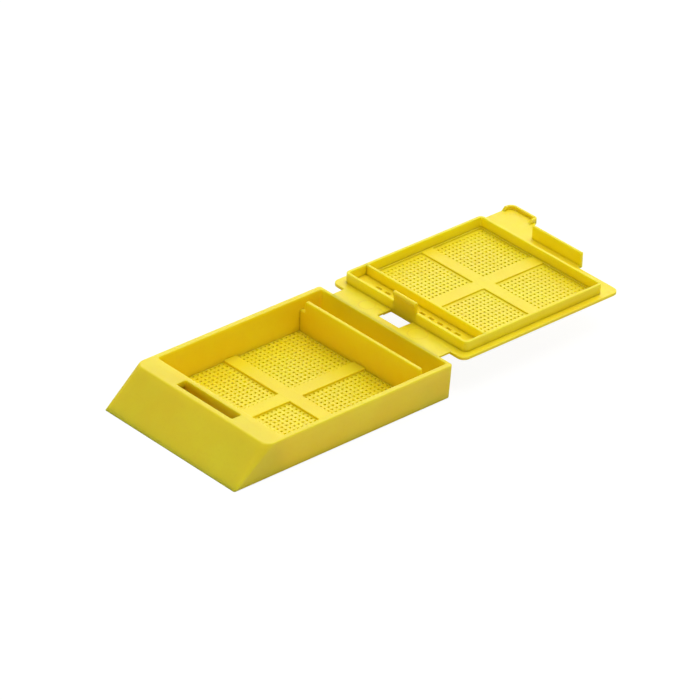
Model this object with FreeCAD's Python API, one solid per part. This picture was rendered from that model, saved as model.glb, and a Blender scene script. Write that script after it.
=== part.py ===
import FreeCAD, Part
import os
from FreeCAD import Vector

# Tissue cassette moulded in one piece: a tray with a sloped writing face, and a meshed lid
# that lies open behind it on a living hinge. Millimetres, +Z up. The origin is the middle of
# the tray floor's underside, +X is across the tray and +Y runs from the tray to the open lid.

# ---- tray ----------------------------------------------------------------------------------
RIM_Z = 5.5                 # height of the rim above the floor's underside
RIM_HALF_W = 14.25          # outer half width at the rim
FOOT_HALF_W = 14.0          # outer half width at the foot (draft)
FRONT_TIP_Y = -22.55        # sharp lower edge of the writing face
FRONT_RIM_Y = -16.9         # upper edge of the writing face
REAR_FOOT_Y = 18.0          # outer face of the rear wall, foot and rim
REAR_RIM_Y = 18.1
FRONT_CORNER_R = (0.3, 1.6)  # corner between writing face and side, at the foot and at the rim
REAR_CORNER_R = 0.5
RIM_ROUND = 0.15

FLOOR_HALF_W = 13.0         # inside of the tray at the floor
MOUTH_HALF_W = 13.35        # inside of the tray at the rim
FLOOR_Y = (-13.15, 17.4)
MOUTH_Y = (-13.42, 17.55)
INNER_CORNER_R = 0.4

PANEL_T = 0.3               # mesh floor panels
BAR_T = 0.65                # raised bars between the panels, and the chamber's floor
BAR_HALF_X = 1.22           # half width of the bar along Y
BAR_HALF_Y = 1.18           # half width of the bar along X

# ---- writing face and latch slot -------------------------------------------------------------
FACE_T = 1.0                # thickness of the writing face and of the wall over the hollow
CHEEK_HALF_W = 13.05        # inside of the hollow under the writing face
SPLIT_Y = -14.27            # outer face of the tray's front wall, and rear edge of the slot
SLOT_FRONT_Y = -16.02
SLOT_X = (-6.15, 5.75)

# ---- partition of the rear chamber -------------------------------------------------------------
WALL_FOOT_Y = (13.2, 14.35)
WALL_TOP_Y = (13.5, 14.08)
WALL_TOP_Z = RIM_Z - 0.1
WALL_NOTCH_X = 12.2         # beyond this the wall is lower, so that the lid's side ribs pass
WALL_NOTCH_Z = RIM_Z - 1.9

# ---- living hinge ---------------------------------------------------------------------------
HINGE_Y = 18.73
HINGE_Z = RIM_Z + 0.01
WEB_HALF_W = 11.3
WEB_T = 0.35

# ---- lid: "u" is the distance from the hinge line, towards +Y while the lid lies open ----------
LID_HALF_W = 14.05
LID_T = 0.5
LID_NEAR_U, LID_FAR_U = 1.45, 32.55
LID_CORNER_R = 1.2
LID_ROUND = 0.12

RIB_T = 0.5
RIB_H = 1.6
RIB_HALF_W = 12.95          # outer faces of the side ribs
RIB_NEAR_U, RIB_FAR_U = 2.9, 30.15
RIB_CORNER_R = 0.8
DIVIDER_U = 6.75            # near face of the rib behind the flow channel

WINDOW_X = (-2.75, 1.85)    # moulding window in front of the rear tab
WINDOW_NEAR_U = 0.2

MESH_HALF_W = 12.25         # meshed area of the lid
MESH_U = (7.35, 17.55, 19.75, 29.45)    # near and far edges of its two rows of panels
LID_BAR_HALF_X = 1.15
LID_PANEL_T = 0.25

FLOW_SLOTS = 10             # small slots along the channel between near rib and divider rib
FLOW_SLOT_PITCH = 1.85
FLOW_SLOT_SIZE = (1.15, 0.5)
FLOW_SLOT_U = 5.65

TAB_HALF_W = 2.35           # rear tab: a taller stretch of the near rib with a bead on top
TAB_H = 3.3
TAB_BEAD_R = 0.4

FLAP_HALF_W = 5.2           # front latch flap, which drops into the slot of the writing face
FLAP_U = (33.1, 33.6)
FLAP_H = 2.1

TONGUE_X = (-LID_HALF_W, -8.3)
TONGUE_U = 37.45
TONGUE_R = (1.2, 0.6)       # its far corners, left and right
FLARE_U = 36.85             # from here its right edge runs out to the flap's ledge
LIP_T = 0.45                # upturned lip round the end of the tongue
LIP_H = 0.6
LIP_START_U = 35.75         # its ends slant like the writing face that it closes over
LIP_SKEW = 5.5              # and its left leg starts nearer, where the face's corner is rounded (degrees)

# ---- mesh -------------------------------------------------------------------------------------
HOLE = 0.4
FLOOR_PITCH, FLOOR_GRID = (0.8, 0.8), (15, 15)
LID_PITCH, LID_GRID = (0.8, 0.74), (13, 13)


def box(x0, x1, y0, y1, z0, z1):
    return Part.makeBox(x1 - x0, y1 - y0, z1 - z0, Vector(x0, y0, z0))


def tapered(half_w0, y0, z0, half_w1, y1, z1):
    """Block between two level rectangles, each given by its half width, (front, rear) and height."""
    wedge = Part.makeWedge(-half_w0, z0, -y0[1], -y1[1], -half_w1, half_w0, z1, -y0[0], -y1[0], half_w1)
    wedge.rotate(Vector(0, 0, 0), Vector(1, 0, 0), 90)
    return wedge


def bar_along_x(profile, x0, x1):
    """Closed (y, z) profile, extruded from x0 to x1."""
    points = [Vector(x0, y, z) for y, z in profile]
    return Part.Face(Part.makePolygon(points + points[:1])).extrude(Vector(x1 - x0, 0, 0))


def upright_edges(shape):
    """Edges that run up and down, give or take the draft."""
    return [e for e in shape.Edges if e.BoundBox.ZLength > max(e.BoundBox.XLength, e.BoundBox.YLength)]


def edges_at_height(shape, z, low_y=-100.0, high_y=100.0):
    """Level edges at height z that lie between two values of y."""
    def chosen(edge):
        middle = edge.valueAt((edge.FirstParameter + edge.LastParameter) / 2)
        points = [v.Point for v in edge.Vertexes] + [middle]
        return all(abs(p.z - z) < 1e-3 and low_y < p.y < high_y for p in points)
    return [e for e in shape.Edges if chosen(e)]


def rounded_plate(x0, x1, y0, y1, z0, z1, radius):
    plate = box(x0, x1, y0, y1, z0, z1)
    return plate.makeFillet(radius, upright_edges(plate))


def mesh_panel(x0, x1, y0, y1, z0, thickness, pitch, grid):
    """Flat panel with a grid of square holes centred on it."""
    def rectangle(cx, cy, half_x, half_y):
        signs = [(-1, -1), (1, -1), (1, 1), (-1, 1), (-1, -1)]
        return Part.makePolygon([Vector(cx + sx * half_x, cy + sy * half_y, z0) for sx, sy in signs])
    mid_x, mid_y = (x0 + x1) / 2, (y0 + y1) / 2
    wires = [rectangle(mid_x, mid_y, (x1 - x0) / 2, (y1 - y0) / 2)]
    for i in range(grid[0]):
        for j in range(grid[1]):
            cx = mid_x + (i - (grid[0] - 1) / 2) * pitch[0]
            cy = mid_y + (j - (grid[1] - 1) / 2) * pitch[1]
            wires.append(rectangle(cx, cy, HOLE / 2, HOLE / 2))
    return Part.makeFace(wires, "Part::FaceMakerCheese").extrude(Vector(0, 0, thickness))


# ---- tray ----------------------------------------------------------------------------------

def tray_cavity():
    """Inside of the tray: upright beside the floor panels, then drafted out to the mouth."""
    foot = box(-FLOOR_HALF_W, FLOOR_HALF_W, FLOOR_Y[0], FLOOR_Y[1], -1.0, PANEL_T)
    above = 1.0             # runs on past the rim by this much
    grow = (RIM_Z + above - PANEL_T) / (RIM_Z - PANEL_T)
    top_half_w = FLOOR_HALF_W + (MOUTH_HALF_W - FLOOR_HALF_W) * grow
    top_y = [floor + (mouth - floor) * grow for floor, mouth in zip(FLOOR_Y, MOUTH_Y)]
    upper = tapered(FLOOR_HALF_W, FLOOR_Y, PANEL_T, top_half_w, top_y, RIM_Z + above)
    cavity = foot.fuse(upper).removeSplitter()
    return cavity.makeFillet(INNER_CORNER_R, upright_edges(cavity))


def outer_block():
    """Outside of the tray and its writing face as one block, with rounded corners."""
    block = tapered(FOOT_HALF_W, (FRONT_TIP_Y, REAR_FOOT_Y), 0.0, RIM_HALF_W, (FRONT_RIM_Y, REAR_RIM_Y), RIM_Z)
    for side in (-1, 1):
        corner = [e for e in block.Edges if e.BoundBox.ZLength > RIM_Z - 0.1
                  and e.BoundBox.YMax < 0 and e.BoundBox.Center.x * side > 0]
        block = block.makeFillet(FRONT_CORNER_R[0], FRONT_CORNER_R[1], corner)
    rear = [e for e in upright_edges(block) if e.BoundBox.YMin > 0]
    return block.makeFillet(REAR_CORNER_R, rear)


def face_hollow():
    """Hollow under the writing face, open below, with the face's thickness left in front."""
    run = (FRONT_RIM_Y - FRONT_TIP_Y) / RIM_Z
    low_y = FRONT_TIP_Y + FACE_T * (1 + run ** 2) ** 0.5
    roof_z = RIM_Z - FACE_T
    below = 1.0
    profile = [(low_y - below * run, -below), (low_y + roof_z * run, roof_z),
               (SPLIT_Y, roof_z), (SPLIT_Y, -below)]
    return bar_along_x(profile, -CHEEK_HALF_W, CHEEK_HALF_W)


def tray_and_face():
    """The tray's walls and the writing block, cut from one moulding at the slot's rear edge."""
    slot = box(SLOT_X[0], SLOT_X[1], SLOT_FRONT_Y, SPLIT_Y, RIM_Z - 2 * FACE_T, RIM_Z + FACE_T)
    moulding = outer_block().cut(tray_cavity()).cut(face_hollow()).cut(slot)
    rim = edges_at_height(moulding, RIM_Z)
    moulding = moulding.makeFillet(RIM_ROUND, rim)
    size = 2 * RIM_HALF_W
    front_space = box(-size, size, FRONT_TIP_Y - size, SPLIT_Y, -size, size)
    return moulding.cut(front_space), moulding.common(front_space)


def partition(cavity):
    """Thin wall across the tray that closes off the rear chamber, notched at both ends."""
    profile = [(WALL_FOOT_Y[0], 0.0), (WALL_FOOT_Y[0], PANEL_T), (WALL_TOP_Y[0], WALL_TOP_Z),
               (WALL_TOP_Y[1], WALL_TOP_Z), (WALL_FOOT_Y[1], BAR_T), (WALL_FOOT_Y[1], 0.0)]
    wall = bar_along_x(profile, -RIM_HALF_W, RIM_HALF_W).common(cavity)
    for side in (-1, 1):
        ends = sorted((side * WALL_NOTCH_X, side * RIM_HALF_W))
        wall = wall.cut(box(ends[0], ends[1], WALL_FOOT_Y[0], WALL_FOOT_Y[1], WALL_NOTCH_Z, RIM_Z))
    long_top = [e for e in edges_at_height(wall, WALL_TOP_Z) if e.BoundBox.XLength > WALL_NOTCH_X]
    return wall.makeFillet(RIM_ROUND, long_top)


def floor_bars(cavity, wall):
    """Raised cross between the four floor panels."""
    along_x = box(-RIM_HALF_W, RIM_HALF_W, -BAR_HALF_Y, BAR_HALF_Y, 0.0, BAR_T)
    along_y = box(-BAR_HALF_X, BAR_HALF_X, FRONT_RIM_Y, WALL_TOP_Y[0], 0.0, BAR_T)
    return along_x.fuse(along_y).removeSplitter().common(cavity).cut(wall)


def chamber_floor(cavity):
    return box(-RIM_HALF_W, RIM_HALF_W, WALL_FOOT_Y[1], REAR_RIM_Y, 0.0, BAR_T).common(cavity)


def floor_panels():
    """The four mesh panels of the tray floor, by node name."""
    rows = {"front": (FLOOR_Y[0], -BAR_HALF_Y), "rear": (BAR_HALF_Y, WALL_FOOT_Y[0])}
    sides = {"left": (-FLOOR_HALF_W, -BAR_HALF_X), "right": (BAR_HALF_X, FLOOR_HALF_W)}
    panels = {}
    for row, (y0, y1) in rows.items():
        for side, (x0, x1) in sides.items():
            panel = mesh_panel(x0, x1, y0, y1, 0.0, PANEL_T, FLOOR_PITCH, FLOOR_GRID)
            panels["floor_mesh_" + row + "_" + side] = panel.common(CAVITY)
    return panels


# ---- lid, lying open -------------------------------------------------------------------------

def lid_box(x0, x1, u0, u1, low, high):
    """Box on the lid: low and high are heights above the lid's upper face."""
    return box(x0, x1, HINGE_Y + u0, HINGE_Y + u1, RIM_Z + low, RIM_Z + high)


def hinge_window():
    return lid_box(WINDOW_X[0], WINDOW_X[1], WINDOW_NEAR_U, RIB_NEAR_U, -2 * LID_T, LID_T)


def hinge_web():
    """The web's two halves: one stays with the tray, one turns with the lid."""
    tray_half = box(-WEB_HALF_W, WEB_HALF_W, REAR_RIM_Y, HINGE_Y, RIM_Z - WEB_T, RIM_Z)
    lid_half = lid_box(-WEB_HALF_W, WEB_HALF_W, 0.0, LID_NEAR_U, -WEB_T, 0.0)
    return tray_half, lid_half.cut(hinge_window())


def lid_plate():
    """Thin plate of the lid with room for the flow strip and the meshed area."""
    plate = rounded_plate(-LID_HALF_W, LID_HALF_W, HINGE_Y + LID_NEAR_U, HINGE_Y + LID_FAR_U,
                          RIM_Z - LID_T, RIM_Z, LID_CORNER_R)
    square_corner = lid_box(-LID_HALF_W, TONGUE_X[1], LID_FAR_U - LID_CORNER_R, LID_FAR_U, -LID_T, 0.0)
    plate = plate.fuse(square_corner).removeSplitter()
    plate = plate.cut(hinge_window())
    half_w = RIB_HALF_W - RIB_T
    plate = plate.cut(lid_box(-half_w, half_w, RIB_NEAR_U + RIB_T, DIVIDER_U, -LID_T, 0.0))
    return plate.cut(lid_box(-MESH_HALF_W, MESH_HALF_W, MESH_U[0], MESH_U[3], -LID_T, 0.0))


def flow_strip():
    """Floor of the channel between near rib and divider rib, with its row of small slots."""
    half_w = RIB_HALF_W - RIB_T
    strip = lid_box(-half_w, half_w, RIB_NEAR_U + RIB_T, DIVIDER_U, -LID_T, 0.0)
    half_l, half_s = FLOW_SLOT_SIZE[0] / 2, FLOW_SLOT_SIZE[1] / 2
    for i in range(FLOW_SLOTS):
        x = (i - (FLOW_SLOTS - 1) / 2) * FLOW_SLOT_PITCH
        strip = strip.cut(lid_box(x - half_l, x + half_l, FLOW_SLOT_U - half_s, FLOW_SLOT_U + half_s,
                                  -2 * LID_T, LID_T))
    return strip


def lid_ribs():
    """Rectangle of ribs that fits inside the tray's mouth, open where the rear tab stands."""
    top = RIM_Z + RIB_H
    outer = rounded_plate(-RIB_HALF_W, RIB_HALF_W, HINGE_Y + RIB_NEAR_U, HINGE_Y + RIB_FAR_U,
                          RIM_Z, top, RIB_CORNER_R)
    inner = rounded_plate(-RIB_HALF_W + RIB_T, RIB_HALF_W - RIB_T, HINGE_Y + RIB_NEAR_U + RIB_T,
                          HINGE_Y + RIB_FAR_U - RIB_T, RIM_Z, top, RIB_CORNER_R - RIB_T)
    frame = outer.cut(inner)
    frame = frame.makeFillet(RIM_ROUND, edges_at_height(frame, top))
    return frame.cut(lid_box(-TAB_HALF_W, TAB_HALF_W, 0.0, DIVIDER_U, 0.0, TAB_H))


def divider_rib():
    half_w = RIB_HALF_W - RIB_T
    rib = lid_box(-half_w, half_w, DIVIDER_U, DIVIDER_U + RIB_T, 0.0, RIB_H)
    top = [e for e in edges_at_height(rib, RIM_Z + RIB_H) if e.BoundBox.XLength > half_w]
    return rib.makeFillet(RIM_ROUND, top)


def latch_tab():
    """Rear tab, with a bead along its top that stands out on the window's side."""
    bead_u = RIB_NEAR_U + TAB_BEAD_R / 4
    bead_z = RIM_Z + TAB_H - TAB_BEAD_R
    blade = lid_box(-TAB_HALF_W, TAB_HALF_W, RIB_NEAR_U, RIB_NEAR_U + RIB_T, 0.0, TAB_H - TAB_BEAD_R)
    bead = Part.makeCylinder(TAB_BEAD_R, 2 * TAB_HALF_W,
                             Vector(-TAB_HALF_W, HINGE_Y + bead_u, bead_z), Vector(1, 0, 0))
    return blade.fuse(bead).removeSplitter()


def front_latch():
    """Upright flap on a small ledge of the lid's far edge."""
    ledge = lid_box(-FLAP_HALF_W, FLAP_HALF_W, LID_FAR_U, FLAP_U[1], -LID_T, 0.0)
    flap = lid_box(-FLAP_HALF_W, FLAP_HALF_W, FLAP_U[0], FLAP_U[1], 0.0, FLAP_H)
    flap = flap.makeFillet(RIM_ROUND, edges_at_height(flap, RIM_Z + FLAP_H))
    return ledge.fuse(flap).removeSplitter()


def tongue_block(inset, low, high):
    """Tongue's outline moved in by inset, from before the lid's far edge, with its two far corners rounded."""
    x0, x1 = TONGUE_X[0] + inset, TONGUE_X[1] - inset
    block = lid_box(x0, x1, LID_FAR_U - LID_CORNER_R, TONGUE_U - inset, low, high)
    for side, radius in zip((-1, 1), TONGUE_R):
        corner = [e for e in upright_edges(block) if e.BoundBox.YMin > HINGE_Y + LID_FAR_U
                  and (e.BoundBox.XMin - (x0 + x1) / 2) * side > 0]
        block = block.makeFillet(max(radius - inset, RIM_ROUND), corner)
    return block


def finger_tongue():
    """Tongue for opening the lid, with an upturned lip round its end and a flare towards the flap."""
    height = LID_T + LIP_H
    start = LID_FAR_U - 3 * height
    slant = [(start, 0.0), (LIP_START_U, 0.0), (LIP_START_U + height, height), (start, height)]
    clear = bar_along_x([(HINGE_Y + u, RIM_Z + h) for u, h in slant], TONGUE_X[0] - LIP_T, TONGUE_X[1] + LIP_T)
    clear.rotate(Vector(TONGUE_X[1], HINGE_Y + LIP_START_U, 0), Vector(0, 0, 1), LIP_SKEW)
    tongue = tongue_block(0.0, -LID_T, LIP_H).cut(tongue_block(LIP_T, 0.0, height)).cut(clear)
    tongue = tongue.cut(lid_box(-LID_HALF_W, 0.0, 0.0, LID_FAR_U, -LID_T, LIP_H))
    x0, x1 = TONGUE_X[1], -FLAP_HALF_W
    flare = [(x0, LID_FAR_U), (x1, LID_FAR_U), (x1, FLAP_U[1]), (x0, FLARE_U)]
    corners = [Vector(x, HINGE_Y + u, RIM_Z - LID_T) for x, u in flare]
    plate = Part.Face(Part.makePolygon(corners + corners[:1])).extrude(Vector(0, 0, LID_T))
    return tongue.fuse(plate).removeSplitter()


def lid_bars():
    """Cross between the four mesh panels of the lid."""
    along_x = lid_box(-MESH_HALF_W, MESH_HALF_W, MESH_U[1], MESH_U[2], -LID_T, 0.0)
    along_u = lid_box(-LID_BAR_HALF_X, LID_BAR_HALF_X, MESH_U[0], MESH_U[3], -LID_T, 0.0)
    return along_x.fuse(along_u).removeSplitter()


def lid_panels():
    """The four mesh panels of the lid, flush with its outer face, by node name."""
    rows = {"near": MESH_U[:2], "far": MESH_U[2:]}
    sides = {"left": (-MESH_HALF_W, -LID_BAR_HALF_X), "right": (LID_BAR_HALF_X, MESH_HALF_W)}
    panels = {}
    for row, (u0, u1) in rows.items():
        for side, (x0, x1) in sides.items():
            panels["lid_mesh_" + row + "_" + side] = mesh_panel(
                x0, x1, HINGE_Y + u0, HINGE_Y + u1, RIM_Z - LID_T, LID_PANEL_T, LID_PITCH, LID_GRID)
    return panels


CAVITY = tray_cavity()
nodes = {}
nodes["tray_walls"], nodes["writing_block"] = tray_and_face()
nodes["chamber_partition"] = partition(CAVITY)
nodes["floor_bars"] = floor_bars(CAVITY, nodes["chamber_partition"])
nodes["chamber_floor"] = chamber_floor(CAVITY)
nodes.update(floor_panels())
nodes["hinge_web_tray_half"], nodes["hinge_web_lid_half"] = hinge_web()
nodes["lid_plate"] = lid_plate()
nodes["flow_strip"] = flow_strip()
nodes["lid_rib_frame"] = lid_ribs()
nodes["divider_rib"] = divider_rib()
nodes["rear_latch_tab"] = latch_tab()
nodes["front_latch_flap"] = front_latch()
nodes["finger_tongue"] = finger_tongue()
nodes["lid_bars"] = lid_bars()
nodes.update(lid_panels())

os.makedirs("parts", exist_ok=True)
for name, shape in nodes.items():
    bounds = shape.BoundBox
    print(f"{name:24s} solids {len(shape.Solids)} valid {shape.isValid()} volume {shape.Volume:8.2f}"
          f"  x {bounds.XMin:7.2f} {bounds.XMax:7.2f}  y {bounds.YMin:7.2f} {bounds.YMax:7.2f}"
          f"  z {bounds.ZMin:6.2f} {bounds.ZMax:6.2f}")
    shape.exportStep("parts/" + name + ".step")
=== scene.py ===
import bmesh
import bpy
import math
from mathutils import Matrix, Vector
from mathutils.geometry import tessellate_polygon


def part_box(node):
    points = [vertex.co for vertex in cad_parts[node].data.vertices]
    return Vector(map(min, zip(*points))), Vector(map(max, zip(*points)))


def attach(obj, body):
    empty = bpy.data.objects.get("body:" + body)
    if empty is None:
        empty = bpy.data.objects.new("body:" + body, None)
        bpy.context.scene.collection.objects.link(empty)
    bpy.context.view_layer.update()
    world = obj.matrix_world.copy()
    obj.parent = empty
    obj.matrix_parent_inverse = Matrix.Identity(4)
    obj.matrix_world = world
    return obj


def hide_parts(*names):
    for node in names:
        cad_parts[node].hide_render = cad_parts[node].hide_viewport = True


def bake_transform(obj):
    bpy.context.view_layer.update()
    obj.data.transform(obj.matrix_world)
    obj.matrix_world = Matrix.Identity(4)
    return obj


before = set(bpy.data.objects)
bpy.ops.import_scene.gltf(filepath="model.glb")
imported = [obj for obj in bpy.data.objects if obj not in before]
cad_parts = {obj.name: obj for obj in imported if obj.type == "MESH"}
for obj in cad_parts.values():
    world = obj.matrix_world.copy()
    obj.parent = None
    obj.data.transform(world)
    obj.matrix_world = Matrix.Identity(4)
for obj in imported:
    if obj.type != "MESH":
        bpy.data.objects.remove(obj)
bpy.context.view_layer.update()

# Tissue cassette, one moulding in yellow acetal: a mesh-floored tray with a sloped writing face, and a
# meshed lid that lies open behind it on a living hinge. Lengths are millimetres, in the CAD frame.
MM = 0.001


def span(node):
    """The (low, high) pairs of a CAD node along X, Y and Z, in millimetres."""
    low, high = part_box(node)
    return [(a / MM, b / MM) for a, b in zip(low, high)]


# ---- tray sizes ------------------------------------------------------------------------------------

(_, RIM_HALF_W), (SPLIT_Y, REAR_RIM_Y), (_, RIM_Z) = span("tray_walls")
FRONT_TIP_Y = span("writing_block")[1][0]
FOOT_HALF_W = 14.0
FRONT_RIM_Y = -16.9
REAR_FOOT_Y = 18.0
FRONT_CORNER_R = (0.3, 1.6)             # at the foot and at the rim
REAR_CORNER_R = 0.5
FOOT_EDGE_R = 0.07
RIM_EDGE_R = 0.16
FACE_RUN = (FRONT_RIM_Y - FRONT_TIP_Y) / RIM_Z      # how far the writing face leans back per mm of height
FACE_T = 1.0
CHEEK_HALF_W = 13.05                    # inside of the hollow under the writing face
HOLLOW_CORNER_R = 0.3
SLOT_X = (-6.15, 5.75)
SLOT_Y = (-16.02, SPLIT_Y - 0.03)       # its rear edge keeps off the hollow's rear edge
SLOT_CORNER_R = 0.25
SLOT_EDGE_R = 0.12

FLOOR_HALF_W, MOUTH_HALF_W = 13.0, 13.35
FLOOR_Y, MOUTH_Y = (-13.15, 17.4), (-13.42, 17.55)
INNER_CORNER_R = 0.4
PANEL_T = span("floor_mesh_front_left")[2][1]
BAR_T = span("floor_bars")[2][1]
BAR_HALF_X, BAR_HALF_Y = 1.22, 1.18
BAR_CORNER_R = 0.15
BAR_EDGE_R = (0.03, 0.1)                # lower and upper
WALL_FOOT_Y = span("chamber_partition")[1]
WALL_TOP_Y = (13.5, 14.08)
WALL_TOP_Z = span("chamber_partition")[2][1]
WALL_LOW_Z = 0.1                        # its foot ends inside the floor
WALL_NOTCH_X, WALL_NOTCH_Z = 12.2, 3.6
WALL_NOTCH_R = (0.15, 0.25)             # inner and outer corner
WALL_EDGE_R = 0.14

# ---- hinge and lid sizes ---------------------------------------------------------------------------

HINGE_Y = span("hinge_web_tray_half")[1][1]
WEB_HALF_W = span("hinge_web_tray_half")[0][1]
WEB_LOW_Z = span("hinge_web_tray_half")[2][0]
WEB_EDGE_R = 0.05
FOLD_STEP, FOLD_STEPS = 0.06, 6         # rows of edges that the fold bends at, on each side of the hinge
WINDOW_X = (-2.75, 1.85)
WINDOW_Y = (HINGE_Y + 0.2, HINGE_Y + 2.9)
WINDOW_CORNER_R = 0.1

(_, LID_HALF_W), (LID_NEAR_Y, LID_FAR_Y), (LID_LOW_Z, LID_Z) = span("lid_plate")
LID_CORNER_R = 1.2
PLATE_R = 0.1                           # rounding of the lid plate's edges
(_, RIB_HALF_W), (RIB_NEAR_Y, RIB_FAR_Y), (_, RIB_TOP_Z) = span("lid_rib_frame")
RIB_T = 0.5
RIB_CORNER_R = 0.8
RIB_EDGE_R = 0.14
DIVIDER_Y = span("divider_rib")[1]
MESH_HALF_W = 12.25
MESH_Y = [HINGE_Y + u for u in (7.35, 17.55, 19.75, 29.45)]
MESH_CORNER_R = 0.12
LID_BAR_HALF_X = 1.15
FLOW_SLOTS, FLOW_SLOT_PITCH, FLOW_SLOT_SIZE = 10, 1.85, (1.1, 0.4)
FLOW_SLOT_Y = HINGE_Y + 5.65
FLOW_SLOT_CORNER_R = 0.1
TAB_HALF_W = span("rear_latch_tab")[0][1]
TAB_TOP_Z = span("rear_latch_tab")[2][1]
TAB_BEAD_R = 0.4
TAB_BEAD_FOOT = 0.55                    # from the bead's middle down to where the tab is flat again
TAB_EDGE_R = 0.08
(_, FLAP_HALF_W), (_, FLAP_FAR_Y), (_, FLAP_TOP_Z) = span("front_latch_flap")
FLAP_T = 0.5
FLAP_CORNER_R = 0.12
FLAP_EDGE_R = 0.16
(TONGUE_LEFT, _), (_, TONGUE_FAR_Y), (_, LIP_TOP_Z) = span("finger_tongue")
TONGUE_RIGHT = -8.3
TONGUE_R = (1.2, 0.6)                   # left and right corner
FLARE_Y = HINGE_Y + 36.85
LIP_T = 0.45
LIP_SPARE = 0.5
LIP_START_Y = HINGE_Y + 35.75
LIP_SKEW = math.radians(3.5)
LIP_EDGE_R = 0.15

# ---- mesh panels and seams -------------------------------------------------------------------------

HOLE_TOP, HOLE_FOOT = 0.4, 0.31
HOLE_CORNER = 0.05
HOLE_MOUTH = ((0.0, 0.025), (0.01, 0.007), (0.03, 0.0))     # outwards and down from the panel's face
FLOOR_PITCH, FLOOR_GRID = (0.8, 0.8), (15, 15)
LID_PITCH, LID_GRID = (0.8, 0.74), (13, 13)
SUNK = 0.06                             # how far one region's mesh runs into its neighbour's
DEEP_SUNK = 0.2                         # where the neighbour is thick enough to hide more
WALL_SUNK = 0.15                        # the partition's ends in the tray's walls
CHAMBER_SUNK = 0.1                      # the rear chamber's floor in the partition's foot
ROOT = 0.1                              # how far down in the lid plate its ribs start
PROUD = 0.01                            # step that keeps two regions' flush faces apart
WEB_PROUD = 0.002
PANEL_LOW_Z = 0.02
WELD = 0.002                            # points closer than this become one
SHARP_ANGLE = math.radians(40)


# ---- mesh tools ------------------------------------------------------------------------------------

class Solid:
    """Rings of points, in millimetres, that are joined into one closed mesh."""

    def __init__(self):
        self.points = []
        self.faces = []

    def ring(self, points):
        start = len(self.points)
        self.points.extend(points)
        return list(range(start, len(self.points)))

    def join(self, a, b):
        for i in range(len(a)):
            j = (i + 1) % len(a)
            self.faces.append((a[i], a[j], b[j], b[i]))

    def stack(self, rings):
        """Joins rings in order and returns the first and the last."""
        made = [self.ring(r) for r in rings]
        for a, b in zip(made, made[1:]):
            self.join(a, b)
        return made[0], made[-1]

    def cap(self, outer, holes=()):
        """Flat face inside outer and outside the holes."""
        rings = [outer, *holes]
        flat = [i for ring in rings for i in ring]
        for triangle in tessellate_polygon([[self.points[i] for i in ring] for ring in rings]):
            self.faces.append(tuple(flat[i] for i in triangle))

    def piece(self, name, body, nodes, cuts_y=(), trim=None):
        """Makes the object, which rides on body and stands for the CAD nodes.

        cuts_y gives it rows of edges to bend at; trim takes off what lies beyond a plane, given as
        a point and the direction to take away.
        """
        bm = bmesh.new()
        verts = [bm.verts.new(p * MM) for p in self.points]
        for face in self.faces:
            bm.faces.new([verts[i] for i in face])
        bmesh.ops.remove_doubles(bm, verts=bm.verts, dist=WELD * MM)
        for y in cuts_y:
            bmesh.ops.bisect_plane(bm, geom=bm.verts[:] + bm.edges[:] + bm.faces[:],
                                   plane_co=(0, y * MM, 0), plane_no=(0, 1, 0))
        if trim:
            cut = bmesh.ops.bisect_plane(bm, geom=bm.verts[:] + bm.edges[:] + bm.faces[:],
                                         plane_co=trim[0] * MM, plane_no=trim[1], clear_outer=True)
            rim = [g for g in cut["geom_cut"] if isinstance(g, bmesh.types.BMEdge)]
            bmesh.ops.holes_fill(bm, edges=rim)
        bmesh.ops.recalc_face_normals(bm, faces=bm.faces)
        mesh = bpy.data.meshes.new(name)
        bm.to_mesh(mesh)
        bm.free()
        moulded = mesh.attributes.new("moulded", "FLOAT_VECTOR", "POINT")
        moulded.data.foreach_set("vector", [c / MM for v in mesh.vertices for c in v.co])
        mesh.polygons.foreach_set("use_smooth", [True] * len(mesh.polygons))
        mesh.set_sharp_from_angle(angle=SHARP_ANGLE)
        obj = bpy.data.objects.new(name, mesh)
        bpy.context.scene.collection.objects.link(obj)
        weighted = obj.modifiers.new("weighted_normals", "WEIGHTED_NORMAL")
        weighted.keep_sharp = True
        if body:
            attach(obj, body)
        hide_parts(*nodes)
        return obj


def rounded_loop(corners, steps=6):
    """Closed anticlockwise loop through (x, y, radius) corners."""
    loop = []
    for i, (x, y, radius) in enumerate(corners):
        corner = Vector((x, y))
        if radius <= 0:
            loop.append(corner)
            continue
        back = (Vector(corners[i - 1][:2]) - corner).normalized()
        ahead = (Vector(corners[(i + 1) % len(corners)][:2]) - corner).normalized()
        half = back.angle(ahead) / 2
        centre = corner + (back + ahead).normalized() * (radius / math.sin(half))
        start = corner + back * (radius / math.tan(half)) - centre
        end = corner + ahead * (radius / math.tan(half)) - centre
        turn = math.atan2(start.x * end.y - start.y * end.x, start.dot(end))
        for k in range(steps + 1):
            loop.append(centre + Matrix.Rotation(turn * k / steps, 2) @ start)
    return loop


def rectangle(x0, x1, y0, y1, radius=0.0, steps=6):
    return rounded_loop([(x0, y0, radius), (x1, y0, radius), (x1, y1, radius), (x0, y1, radius)], steps)


def offset(loop, inset):
    """The loop moved inwards; a negative inset moves it outwards."""
    moved = []
    for i, point in enumerate(loop):
        along = (point - loop[i - 1]).normalized()
        onward = (loop[(i + 1) % len(loop)] - point).normalized()
        side = Vector((-along.y, along.x)) + Vector((-onward.y, onward.x))
        moved.append(point + side * (2 * inset / side.length_squared))
    return moved


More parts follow.
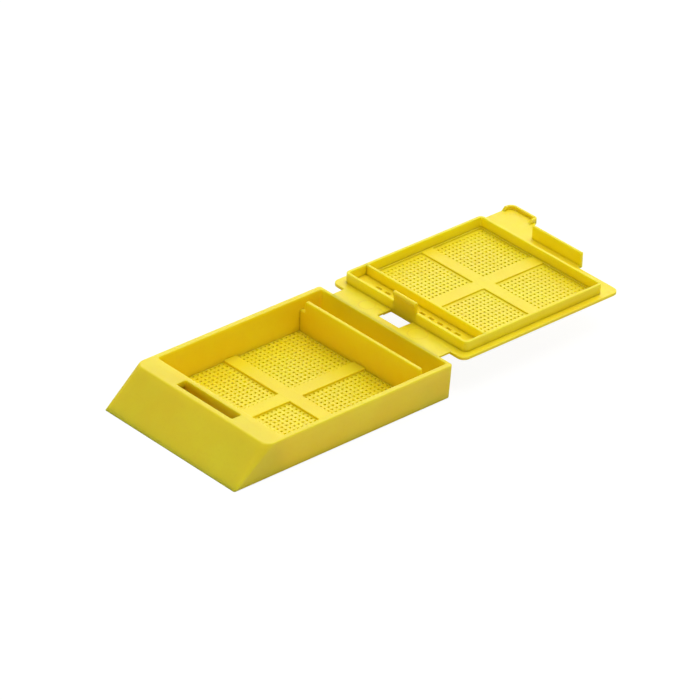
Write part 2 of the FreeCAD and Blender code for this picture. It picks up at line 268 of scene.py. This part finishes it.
def edge_profile(low, high, low_r, high_r, steps=3):
    """(inset, height) pairs up a wall whose lower and upper edges are rounded."""
    pairs = []
    for k in range(steps + 1 if low_r else 1):
        angle = math.pi / 2 * (k / steps if low_r else 0)
        pairs.append((low_r * (1 - math.sin(angle)), low + low_r * (1 - math.cos(angle))))
    for k in range(steps + 1 if high_r else 1):
        angle = math.pi / 2 * (k / steps if high_r else 0)
        pairs.append((high_r * (1 - math.cos(angle)), high - high_r * (1 - math.sin(angle))))
    return pairs


def upright(a, b, height):
    """Loops drawn in plan, heights along Z."""
    return Vector((a, b, height))


def sideways(a, b, height):
    """Loops drawn in Y and Z, heights along X."""
    return Vector((height, a, b))


def slab(outline, profile, holes=(), hole_profile=None, place=upright):
    """Solid between the profile's first and last height; its holes may have a profile of their own."""
    solid = Solid()
    loops = [(outline, 1, profile)] + [(hole, -1, hole_profile or profile) for hole in holes]
    ends = []
    for loop, sign, pairs in loops:
        rings = [[place(p.x, p.y, h) for p in offset(loop, sign * inset)] for inset, h in pairs]
        ends.append(solid.stack(rings))
    for end in (0, 1):
        solid.cap(ends[0][end], [e[end] for e in ends[1:]])
    return solid


def grid_middles(count, step):
    """Middles of a row of cells, on both sides of zero."""
    return [(i - (count - 1) / 2) * step for i in range(count)]


def mesh_panel(x0, x1, y0, y1, z0, z1, pitch, grid):
    """Panel with a grid of small square holes that narrow downwards."""
    solid = Solid()
    mid_x, mid_y = (x0 + x1) / 2, (y0 + y1) / 2
    half_x, half_y = pitch[0] / 2, pitch[1] / 2
    foot, taper = HOLE_FOOT / 2, (HOLE_TOP - HOLE_FOOT) / 2
    near = foot - HOLE_CORNER           # where a hole's straight side ends
    profile = [(0.0, z0)] + [(taper + out, z1 - down) for out, down in HOLE_MOUTH]
    around = [(-near, -1), (near, -1), (1, -near), (1, near), (near, 1), (-near, 1), (-1, near), (-1, -near)]

    def out_to(a, b, hx, hy):
        return Vector((a if abs(a) < 1 else a * hx, b if abs(b) < 1 else b * hy))

    hole = [out_to(a, b, foot, foot) for a, b in around]
    border = [out_to(a, b, half_x, half_y) for a, b in around]
    for x in grid_middles(grid[0], pitch[0]):
        for y in grid_middles(grid[1], pitch[1]):
            centre = Vector((mid_x + x, mid_y + y))
            rings = [[upright(*(centre + p), h) for p in offset(hole, -inset)] for inset, h in profile]
            ends = solid.stack(rings)
            for end, height in zip(ends, (z0, z1)):
                rim = solid.ring([upright(*(centre + p), height) for p in border])
                for k in range(len(rim)):
                    m = (k + 1) % len(rim)
                    if k % 2 == 0:
                        solid.faces.append((end[k], end[m], rim[m], rim[k]))
                        continue
                    out = Vector((math.copysign(half_x, border[k].x), math.copysign(half_y, border[k].y)))
                    tip = solid.ring([upright(*(centre + out), height)])[0]
                    solid.faces.append((end[k], end[m], rim[m], tip, rim[k]))
    wide, deep = grid[0] * half_x, grid[1] * half_y
    stops_x, stops_y = [[middle + side * near for middle in grid_middles(count, step) for side in (-1, 1)]
                        for count, step in zip(grid, pitch)]
    inner = [Vector((-wide, -deep))] + [Vector((x, -deep)) for x in stops_x]
    inner += [Vector((wide, -deep))] + [Vector((wide, y)) for y in stops_y]
    inner += [Vector((wide, deep))] + [Vector((x, deep)) for x in reversed(stops_x)]
    inner += [Vector((-wide, deep))] + [Vector((-wide, y)) for y in reversed(stops_y)]
    sides = [solid.ring([upright(p.x, p.y, z) for p in rectangle(x0, x1, y0, y1)]) for z in (z0, z1)]
    solid.join(*sides)
    for ring, z in zip(sides, (z0, z1)):
        gap = solid.ring([upright(mid_x + p.x, mid_y + p.y, z) for p in inner])
        solid.cap(ring, [gap])
    return solid


# ---- tray ------------------------------------------------------------------------------------------

def cavity_loop(z):
    share = min(max((z - PANEL_T) / (RIM_Z - PANEL_T), 0.0), 1.0)
    half_w = FLOOR_HALF_W + (MOUTH_HALF_W - FLOOR_HALF_W) * share
    y0, y1 = [a + (b - a) * share for a, b in zip(FLOOR_Y, MOUTH_Y)]
    return rectangle(-half_w, half_w, y0, y1, INNER_CORNER_R)


def outer_loop(z):
    share = z / RIM_Z
    half_w = FOOT_HALF_W + (RIM_HALF_W - FOOT_HALF_W) * share
    front = FRONT_TIP_Y + FACE_RUN * z
    rear = REAR_FOOT_Y + (REAR_RIM_Y - REAR_FOOT_Y) * share
    front_r = FRONT_CORNER_R[0] + (FRONT_CORNER_R[1] - FRONT_CORNER_R[0]) * share
    return rounded_loop([(-half_w, front, front_r), (half_w, front, front_r),
                         (half_w, rear, REAR_CORNER_R), (-half_w, rear, REAR_CORNER_R)], 10)


def hollow_loop(z):
    front = FRONT_TIP_Y + FACE_T * math.hypot(1, FACE_RUN) + FACE_RUN * z
    return rectangle(-CHEEK_HALF_W, CHEEK_HALF_W, front, SPLIT_Y, HOLLOW_CORNER_R)


def tray_moulding():
    """Walls, rim and writing face: outside, cavity, hollow and slot as one closed surface."""
    solid = Solid()
    roof_z = RIM_Z - FACE_T
    slot = rectangle(*SLOT_X, *SLOT_Y, SLOT_CORNER_R)
    outside = [[upright(p.x, p.y, z) for p in offset(outer_loop(z), inset)]
               for inset, z in edge_profile(0.0, RIM_Z, FOOT_EDGE_R, RIM_EDGE_R, 4)]
    cavity = [[upright(p.x, p.y, z) for p in offset(cavity_loop(z), -inset)]
              for inset, z in [(0.0, 0.0)] + edge_profile(PANEL_T, RIM_Z, 0.0, RIM_EDGE_R, 4)]
    passage = [[upright(p.x, p.y, z) for p in offset(slot, -inset)]
               for inset, z in edge_profile(roof_z, RIM_Z, 0.0, SLOT_EDGE_R, 3)]
    hollow = [[upright(p.x, p.y, z) for p in hollow_loop(z)] for z in (0.0, roof_z)]
    outside, cavity, passage, hollow = [solid.stack(rings) for rings in (outside, cavity, passage, hollow)]
    solid.cap(outside[1], [cavity[1], passage[1]])
    solid.cap(outside[0], [cavity[0], hollow[0]])
    solid.cap(hollow[1], [passage[0]])
    return solid


def in_partition(x, z, share):
    """Outline drawn in X and Z; share runs through the wall from its front face to its rear face."""
    rise = (z - PANEL_T) / (WALL_TOP_Z - PANEL_T)
    front = WALL_FOOT_Y[0] + (WALL_TOP_Y[0] - WALL_FOOT_Y[0]) * rise
    rear = WALL_FOOT_Y[1] + (WALL_TOP_Y[1] - WALL_FOOT_Y[1]) * (z - BAR_T) / (WALL_TOP_Z - BAR_T)
    return Vector((x, front + (rear - front) * share, z))


def share_profile(radius, thickness):
    """Edge profile for a wall whose heights are shares of its thickness."""
    return [(inset, h / thickness) for inset, h in edge_profile(0.0, thickness, radius, radius)]


base_pieces = [
    tray_moulding().piece("tray_moulding", "base", ["tray_walls", "writing_block"]),
]

wall_end_x = MOUTH_HALF_W + WALL_SUNK
partition_outline = rounded_loop([
    (-wall_end_x, WALL_LOW_Z, 0), (wall_end_x, WALL_LOW_Z, 0), (wall_end_x, WALL_NOTCH_Z, 0),
    (WALL_NOTCH_X, WALL_NOTCH_Z, WALL_NOTCH_R[0]), (WALL_NOTCH_X, WALL_TOP_Z, WALL_NOTCH_R[1]),
    (-WALL_NOTCH_X, WALL_TOP_Z, WALL_NOTCH_R[1]), (-WALL_NOTCH_X, WALL_NOTCH_Z, WALL_NOTCH_R[0]),
    (-wall_end_x, WALL_NOTCH_Z, 0)], 4)
wall_profile = share_profile(WALL_EDGE_R, WALL_TOP_Y[1] - WALL_TOP_Y[0])
partition = slab(partition_outline, wall_profile, place=in_partition)
base_pieces.append(partition.piece("chamber_wall", "base", ["chamber_partition"]))

end_x, end_y = FLOOR_HALF_W + SUNK, (FLOOR_Y[0] - SUNK, WALL_FOOT_Y[0] + DEEP_SUNK)
cross = rounded_loop([
    (-BAR_HALF_X, end_y[0], 0), (BAR_HALF_X, end_y[0], 0), (BAR_HALF_X, -BAR_HALF_Y, BAR_CORNER_R),
    (end_x, -BAR_HALF_Y, 0), (end_x, BAR_HALF_Y, 0), (BAR_HALF_X, BAR_HALF_Y, BAR_CORNER_R),
    (BAR_HALF_X, end_y[1], 0), (-BAR_HALF_X, end_y[1], 0), (-BAR_HALF_X, BAR_HALF_Y, BAR_CORNER_R),
    (-end_x, BAR_HALF_Y, 0), (-end_x, -BAR_HALF_Y, 0), (-BAR_HALF_X, -BAR_HALF_Y, BAR_CORNER_R)], 4)
base_pieces.append(slab(cross, edge_profile(PROUD, BAR_T, *BAR_EDGE_R)).piece(
    "floor_cross", "base", ["floor_bars"]))

chamber = rectangle(-end_x, end_x, WALL_FOOT_Y[1] - CHAMBER_SUNK, FLOOR_Y[1] + SUNK)
base_pieces.append(slab(chamber, edge_profile(PROUD, BAR_T, 0.0, 0.0)).piece(
    "rear_chamber_floor", "base", ["chamber_floor"]))

for row, (y0, y1) in {"front": (FLOOR_Y[0] - SUNK, -BAR_HALF_Y + SUNK),
                      "rear": (BAR_HALF_Y - SUNK, WALL_FOOT_Y[0] + SUNK)}.items():
    for side, (x0, x1) in {"left": (-FLOOR_HALF_W - DEEP_SUNK, -BAR_HALF_X + DEEP_SUNK),
                           "right": (BAR_HALF_X - DEEP_SUNK, FLOOR_HALF_W + DEEP_SUNK)}.items():
        panel = mesh_panel(x0, x1, y0, y1, PANEL_LOW_Z, PANEL_T, FLOOR_PITCH, FLOOR_GRID)
        base_pieces.append(panel.piece(f"floor_panel_{row}_{side}", "base", [f"floor_mesh_{row}_{side}"]))

# ---- hinge web -------------------------------------------------------------------------------------

start_y, stop_y = REAR_RIM_Y - DEEP_SUNK, LID_NEAR_Y + DEEP_SUNK
web_outline = rounded_loop([
    (-WEB_HALF_W, start_y, 0), (WEB_HALF_W, start_y, 0), (WEB_HALF_W, stop_y, 0), (WINDOW_X[1], stop_y, 0),
    (WINDOW_X[1], WINDOW_Y[0], WINDOW_CORNER_R), (WINDOW_X[0], WINDOW_Y[0], WINDOW_CORNER_R),
    (WINDOW_X[0], stop_y, 0), (-WEB_HALF_W, stop_y, 0)], 3)
web = slab(web_outline, edge_profile(WEB_LOW_Z, LID_Z + WEB_PROUD, WEB_EDGE_R, WEB_EDGE_R, 2)).piece(
    "hinge_web", None, ["hinge_web_tray_half", "hinge_web_lid_half"],
    [HINGE_Y + FOLD_STEP * k for k in range(-FOLD_STEPS, FOLD_STEPS + 1)])
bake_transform(web)

# ---- lid, lying open -------------------------------------------------------------------------------

ledge_x, ledge_y = FLAP_HALF_W - PLATE_R, FLAP_FAR_Y - PLATE_R      # the ledge ends inside the flap
plate_outline = rounded_loop([
    (-LID_HALF_W, LID_NEAR_Y, LID_CORNER_R), (WINDOW_X[0], LID_NEAR_Y, 0),
    (WINDOW_X[0], WINDOW_Y[1], WINDOW_CORNER_R), (WINDOW_X[1], WINDOW_Y[1], WINDOW_CORNER_R),
    (WINDOW_X[1], LID_NEAR_Y, 0), (LID_HALF_W, LID_NEAR_Y, LID_CORNER_R),
    (LID_HALF_W, LID_FAR_Y, LID_CORNER_R), (ledge_x, LID_FAR_Y, 0), (ledge_x, ledge_y, 0),
    (-ledge_x, ledge_y, 0), (TONGUE_RIGHT, FLARE_Y, 0), (TONGUE_RIGHT, TONGUE_FAR_Y, TONGUE_R[1]),
    (TONGUE_LEFT, TONGUE_FAR_Y, TONGUE_R[0])], 8)
panel_x = {"left": (-MESH_HALF_W, -LID_BAR_HALF_X), "right": (LID_BAR_HALF_X, MESH_HALF_W)}
panel_y = {"near": MESH_Y[:2], "far": MESH_Y[2:]}
openings = [rectangle(*xs, *ys, MESH_CORNER_R, 3) for ys in panel_y.values() for xs in panel_x.values()]
half_l, half_s = FLOW_SLOT_SIZE[0] / 2, FLOW_SLOT_SIZE[1] / 2
for x in grid_middles(FLOW_SLOTS, FLOW_SLOT_PITCH):
    openings.append(rectangle(x - half_l, x + half_l, FLOW_SLOT_Y - half_s, FLOW_SLOT_Y + half_s,
                              FLOW_SLOT_CORNER_R, 3))
plate = slab(plate_outline, edge_profile(LID_LOW_Z, LID_Z, PLATE_R, PLATE_R),
             openings, edge_profile(LID_LOW_Z, LID_Z, 0.0, PLATE_R))
lid_pieces = [
    plate.piece("lid_plate_moulding", "lid", ["lid_plate", "flow_strip", "lid_bars"]),
]

rib_outer = rectangle(-RIB_HALF_W, RIB_HALF_W, RIB_NEAR_Y, RIB_FAR_Y, RIB_CORNER_R)
rib_inner = rectangle(-RIB_HALF_W + RIB_T, RIB_HALF_W - RIB_T, RIB_NEAR_Y + RIB_T, RIB_FAR_Y - RIB_T,
                      RIB_CORNER_R - RIB_T)
rib_profile = edge_profile(LID_Z - ROOT, RIB_TOP_Z, 0.0, RIB_EDGE_R)
lid_pieces.append(slab(rib_outer, rib_profile, [rib_inner]).piece("rib_frame", "lid", ["lid_rib_frame"]))
divider = rectangle(-RIB_HALF_W + RIB_T - SUNK, RIB_HALF_W - RIB_T + SUNK, *DIVIDER_Y)
lid_pieces.append(slab(divider, rib_profile).piece("channel_rib", "lid", ["divider_rib"]))

bead_y, bead_z = RIB_NEAR_Y + TAB_BEAD_R / 4, TAB_TOP_Z - TAB_BEAD_R
tab_outline = [Vector((RIB_NEAR_Y + RIB_T + PROUD, LID_Z - ROOT))]
for k in range(-3, 14):
    angle = math.radians(15 * k)
    tab_outline.append(Vector((bead_y + TAB_BEAD_R * math.cos(angle), bead_z + TAB_BEAD_R * math.sin(angle))))
for z in (bead_z - TAB_BEAD_FOOT, LID_Z - ROOT):
    tab_outline.append(Vector((RIB_NEAR_Y - PROUD, z)))
tab = slab(tab_outline, edge_profile(-TAB_HALF_W, TAB_HALF_W, TAB_EDGE_R, TAB_EDGE_R), place=sideways)
lid_pieces.append(tab.piece("rear_tab", "lid", ["rear_latch_tab"]))

flap = rectangle(-FLAP_HALF_W, FLAP_HALF_W, FLAP_FAR_Y - FLAP_T, FLAP_FAR_Y, FLAP_CORNER_R, 3)
lid_pieces.append(slab(flap, edge_profile(LID_LOW_Z + PROUD, FLAP_TOP_Z, PLATE_R, FLAP_EDGE_R)).piece(
    "front_flap", "lid", ["front_latch_flap"]))

lip_start = LID_FAR_Y + LIP_SPARE       # the trim below takes its legs back to their slanted ends
lip_outline = rounded_loop([
    (TONGUE_LEFT, lip_start, 0), (TONGUE_LEFT + LIP_T, lip_start, 0),
    (TONGUE_LEFT + LIP_T, TONGUE_FAR_Y - LIP_T, TONGUE_R[0] - LIP_T),
    (TONGUE_RIGHT - LIP_T, TONGUE_FAR_Y - LIP_T, TONGUE_R[1] - LIP_T),
    (TONGUE_RIGHT - LIP_T, lip_start, 0), (TONGUE_RIGHT, lip_start, 0),
    (TONGUE_RIGHT, TONGUE_FAR_Y, TONGUE_R[1]), (TONGUE_LEFT, TONGUE_FAR_Y, TONGUE_R[0])], 8)
lip = slab(lip_outline, edge_profile(LID_Z - PLATE_R, LIP_TOP_Z, 0.0, LIP_EDGE_R))
lip_trim = (Vector((TONGUE_RIGHT, LIP_START_Y, LID_Z)), Vector((math.tan(LIP_SKEW), -1, FACE_RUN)))
lid_pieces.append(lip.piece("tongue_lip", "lid", ["finger_tongue"], trim=lip_trim))

for row, (y0, y1) in panel_y.items():
    for side, (x0, x1) in panel_x.items():
        _, _, (low, high) = span(f"lid_mesh_{row}_{side}")
        panel = mesh_panel(x0 - SUNK, x1 + SUNK, y0 - SUNK, y1 + SUNK, low + PROUD, high, LID_PITCH, LID_GRID)
        lid_pieces.append(panel.piece(f"lid_panel_{row}_{side}", "lid", [f"lid_mesh_{row}_{side}"]))


# ---- material --------------------------------------------------------------------------------------

DEEP_YELLOW, LIGHT_YELLOW = (0.95, 0.72, 0.010), (0.98, 0.79, 0.016)
SPECK_YELLOW = (0.90, 0.64, 0.01)
# Paler yellow of the painted highlight that is mixed onto rounded edges.
EDGE_HIGHLIGHT_YELLOW = (0.98, 0.87, 0.10)
# Darker yellow of the pin rings: painted shade along each ring's dent.
PIN_RING_SHADE_YELLOW = (0.80, 0.56, 0.01)
SCATTER = (0.8, 0.8, 0.06)              # how far red, green and blue go, as shares of the depth
# Bevel radius that picks out the rounded edges for the painted highlight.
EDGE_HIGHLIGHT_RADIUS = 0.12
GRAIN = (0.5, 0.03)                     # strength of a bump and its height
SINK = (0.42, 0.12)
DENT = (0.6, 0.05)


def acetal(name, depth, warmth=0.0, pin_marks=()):
    """Yellow acetal, satin, with a fine eroded grain and faint flow marks; light goes depth mm into it.

    warmth takes green out of the colour, as thick walls do. pin_marks are the faint rings that ejector
    pins leave, as (x, y, radius); each is a shallow dent with a darker band of painted shade along it.
    The patterns lie in the shape as moulded, in millimetres, so that they stay put while the hinge bends.
    """
    material = bpy.data.materials.new(name)
    material.use_nodes = True
    nodes, links = material.node_tree.nodes, material.node_tree.links
    shader = nodes["Principled BSDF"]
    place = nodes.new("ShaderNodeAttribute")
    place.attribute_name = "moulded"

    def noise(scale, detail):
        node = nodes.new("ShaderNodeTexNoise")
        node.inputs["Scale"].default_value = scale
        node.inputs["Detail"].default_value = detail
        node.inputs["Roughness"].default_value = 0.55
        links.new(place.outputs["Vector"], node.inputs["Vector"])
        return node.outputs["Fac"]

    def ranged(value, low, high, start=0.3, stop=0.7):
        node = nodes.new("ShaderNodeMapRange")
        node.inputs["From Min"].default_value = start
        node.inputs["From Max"].default_value = stop
        node.inputs["To Min"].default_value = low
        node.inputs["To Max"].default_value = high
        links.new(value, node.inputs["Value"])
        return node.outputs["Result"]

    def mixed(factor, first, second):
        """Mixes two colours, each a socket or red, green and blue."""
        node = nodes.new("ShaderNodeMix")
        node.data_type = "RGBA"
        links.new(factor, node.inputs["Factor"])
        for value, socket in ((first, node.inputs["A"]), (second, node.inputs["B"])):
            if isinstance(value, bpy.types.NodeSocket):
                links.new(value, socket)
            else:
                socket.default_value = (*value, 1)
        return node.outputs["Result"]

    def bump(size, height, under=None, sunk=False):
        """Bump of (strength, height in mm) on top of the bump under it."""
        node = nodes.new("ShaderNodeBump")
        node.invert = sunk
        node.inputs["Strength"].default_value = size[0]
        node.inputs["Distance"].default_value = size[1] * MM
        links.new(height, node.inputs["Height"])
        if under:
            links.new(under, node.inputs["Normal"])
        return node.outputs["Normal"]

    def ring_at(x, y, radius):
        stretch = (1, 1, 50)            # so that the ring is on the inner face only
        tall = nodes.new("ShaderNodeVectorMath")
        tall.operation = "MULTIPLY"
        tall.inputs[1].default_value = stretch
        links.new(place.outputs["Vector"], tall.inputs[0])
        reach = nodes.new("ShaderNodeVectorMath")
        reach.operation = "DISTANCE"
        reach.inputs[1].default_value = (x, y, LID_Z * stretch[2])
        links.new(tall.outputs["Vector"], reach.inputs[0])
        off = nodes.new("ShaderNodeMath")
        off.operation = "SUBTRACT"
        off.inputs[1].default_value = radius
        links.new(reach.outputs["Value"], off.inputs[0])
        size = nodes.new("ShaderNodeMath")
        size.operation = "ABSOLUTE"
        links.new(off.outputs["Value"], size.inputs[0])
        return ranged(size.outputs["Value"], 0.4, 0.0, 0.02, 0.2)

    flow = ranged(noise(0.13, 4), 0.0, 1.0)
    speck = ranged(noise(2.6, 2), 0.0, 0.35, 0.55, 0.75)
    deep, light = [(red, green - warmth, blue) for red, green, blue in (DEEP_YELLOW, LIGHT_YELLOW)]
    colour = mixed(flow, deep, light)
    colour = mixed(speck, colour, SPECK_YELLOW)
    # Painted highlight: where the bevel normal turns away from the true normal, on rounded edges, the colour
    # is mixed towards a paler yellow.
    edge = nodes.new("ShaderNodeBevel")
    edge.inputs["Radius"].default_value = EDGE_HIGHLIGHT_RADIUS * MM
    geometry = nodes.new("ShaderNodeNewGeometry")
    straight = nodes.new("ShaderNodeVectorMath")
    straight.operation = "DOT_PRODUCT"
    links.new(edge.outputs["Normal"], straight.inputs[0])
    links.new(geometry.outputs["True Normal"], straight.inputs[1])
    painted_edge_highlight = ranged(straight.outputs["Value"], 0.2, 0.0, 0.75, 1.0)
    colour = mixed(painted_edge_highlight, colour, EDGE_HIGHLIGHT_YELLOW)

    links.new(ranged(noise(0.9, 4), 0.34, 0.46), shader.inputs["Roughness"])
    normal = bump(SINK, noise(0.24, 2))
    normal = bump(GRAIN, noise(5.0, 3), normal)
    for mark in pin_marks:
        # Each pin mark is a real shallow dent in the bump, plus a darker band of painted shade along it.
        ring = ring_at(*mark)
        colour = mixed(ring, colour, PIN_RING_SHADE_YELLOW)
        normal = bump(DENT, ring, normal, sunk=True)
    links.new(normal, shader.inputs["Normal"])
    links.new(colour, shader.inputs["Base Color"])
    shader.inputs["IOR"].default_value = 1.48
    shader.inputs["Subsurface Weight"].default_value = 1.0
    shader.inputs["Subsurface Radius"].default_value = SCATTER
    shader.inputs["Subsurface Scale"].default_value = depth * MM
    return material


PIN_MARKS = [(-5.85, HINGE_Y + 1.0, 1.25), (4.75, HINGE_Y + 1.2, 1.5)]
walls = acetal("acetal_walls", 1.7, 0.04)
ribs = acetal("acetal_ribs", 1.4, 0.02)
sheets = acetal("acetal_sheets", 0.4)
marked = acetal("acetal_marked", 0.4, 0.0, PIN_MARKS)
for piece in base_pieces + lid_pieces + [web]:
    if piece.name in ("hinge_web", "lid_plate_moulding"):
        look = marked
    elif piece.name in ("tray_moulding", "chamber_wall"):
        look = walls
    elif piece.name in ("rib_frame", "channel_rib", "front_flap"):
        look = ribs
    else:
        look = sheets
    piece.data.materials.append(look)


# ---- floor, light and camera -----------------------------------------------------------------------

PAPER_HALF, PAPER_Z = 3, -0.00003       # metres
WHITE = (1, 1, 1, 1)
SEEN_GREY, DIM_GREY = (0.10, 0.10, 0.10, 1), (0.70, 0.70, 0.70, 1)

paper_corners = [(x * PAPER_HALF, y * PAPER_HALF, PAPER_Z) for x, y in ((-1, -1), (1, -1), (1, 1), (-1, 1))]
floor_mesh = bpy.data.meshes.new("floor")
floor_mesh.from_pydata(paper_corners, [], [(0, 1, 2, 3)])
floor = bpy.data.objects.new("floor", floor_mesh)
bpy.context.scene.collection.objects.link(floor)

# The paper is bright where it is seen, and mid-grey in the light that it throws back on the object.
paper = bpy.data.materials.new("paper")
paper.use_nodes = True
paper_nodes, paper_links = paper.node_tree.nodes, paper.node_tree.links
seen = paper_nodes["Principled BSDF"]
seen.inputs["Base Color"].default_value = SEEN_GREY
seen.inputs["Roughness"].default_value = 0.9
seen.inputs["Emission Color"].default_value = WHITE
seen.inputs["Emission Strength"].default_value = 0.92
dim = paper_nodes.new("ShaderNodeBsdfDiffuse")
dim.inputs["Color"].default_value = DIM_GREY
light_path = paper_nodes.new("ShaderNodeLightPath")
choice = paper_nodes.new("ShaderNodeMixShader")
paper_links.new(light_path.outputs["Is Camera Ray"], choice.inputs[0])
paper_links.new(dim.outputs[0], choice.inputs[1])
paper_links.new(seen.outputs[0], choice.inputs[2])
paper_links.new(choice.outputs[0], paper_nodes["Material Output"].inputs["Surface"])
floor_mesh.materials.append(paper)

world = bpy.data.worlds.new("studio")
bpy.context.scene.world = world
world.use_nodes = True
sky = world.node_tree.nodes["Background"]
sky.inputs["Color"].default_value = WHITE
sky.inputs["Strength"].default_value = 0.42


def softbox(name, direction, distance, size, power):
    """Round soft light that faces the object; distance and size are in metres, power in watts."""
    location = Vector(direction).normalized() * distance
    data = bpy.data.lights.new(name, "AREA")
    data.shape = "DISK"
    data.size = size
    data.energy = power
    lamp = bpy.data.objects.new(name, data)
    bpy.context.scene.collection.objects.link(lamp)
    lamp.location = location
    lamp.rotation_mode = "QUATERNION"
    lamp.rotation_quaternion = location.to_track_quat("Z", "Y")


softbox("top", (0.0, 0.25, 0.97), 1.4, 1.2, 10.5)
softbox("back", (-0.40, 0.75, 0.50), 1.2, 1.4, 5.5)

# The camera looks from the front right, from above, with a slight roll.
AZIMUTH, ELEVATION, ROLL = math.radians(46.949), math.radians(30.715), math.radians(2.276)
AIM = Vector((0, 17.98, 0))
DISTANCE, SHIFT_LEFT, SHIFT_UP = 777.43, 4.862, 1.116
level = math.cos(ELEVATION)
back = Vector((math.sin(AZIMUTH) * level, -math.cos(AZIMUTH) * level, math.sin(ELEVATION)))
level_right = (-back).cross(Vector((0, 0, 1))).normalized()
level_up = level_right.cross(-back)
right = level_right * math.cos(ROLL) + level_up * math.sin(ROLL)
up = level_up * math.cos(ROLL) - level_right * math.sin(ROLL)
eye = (back * DISTANCE - right * SHIFT_LEFT + up * SHIFT_UP + AIM) * MM
camera_data = bpy.data.cameras.new("camera")
camera_data.sensor_width = 36.0
camera_data.lens = 278.1
camera_data.clip_start, camera_data.clip_end = 0.01, 20.0
camera = bpy.data.objects.new("camera", camera_data)
bpy.context.scene.collection.objects.link(camera)
camera.matrix_world = Matrix((
    (right.x, up.x, back.x, eye.x),
    (right.y, up.y, back.y, eye.y),
    (right.z, up.z, back.z, eye.z),
    (0, 0, 0, 1)))
bpy.context.scene.camera = camera
bpy.context.scene.view_settings.view_transform = "Standard"
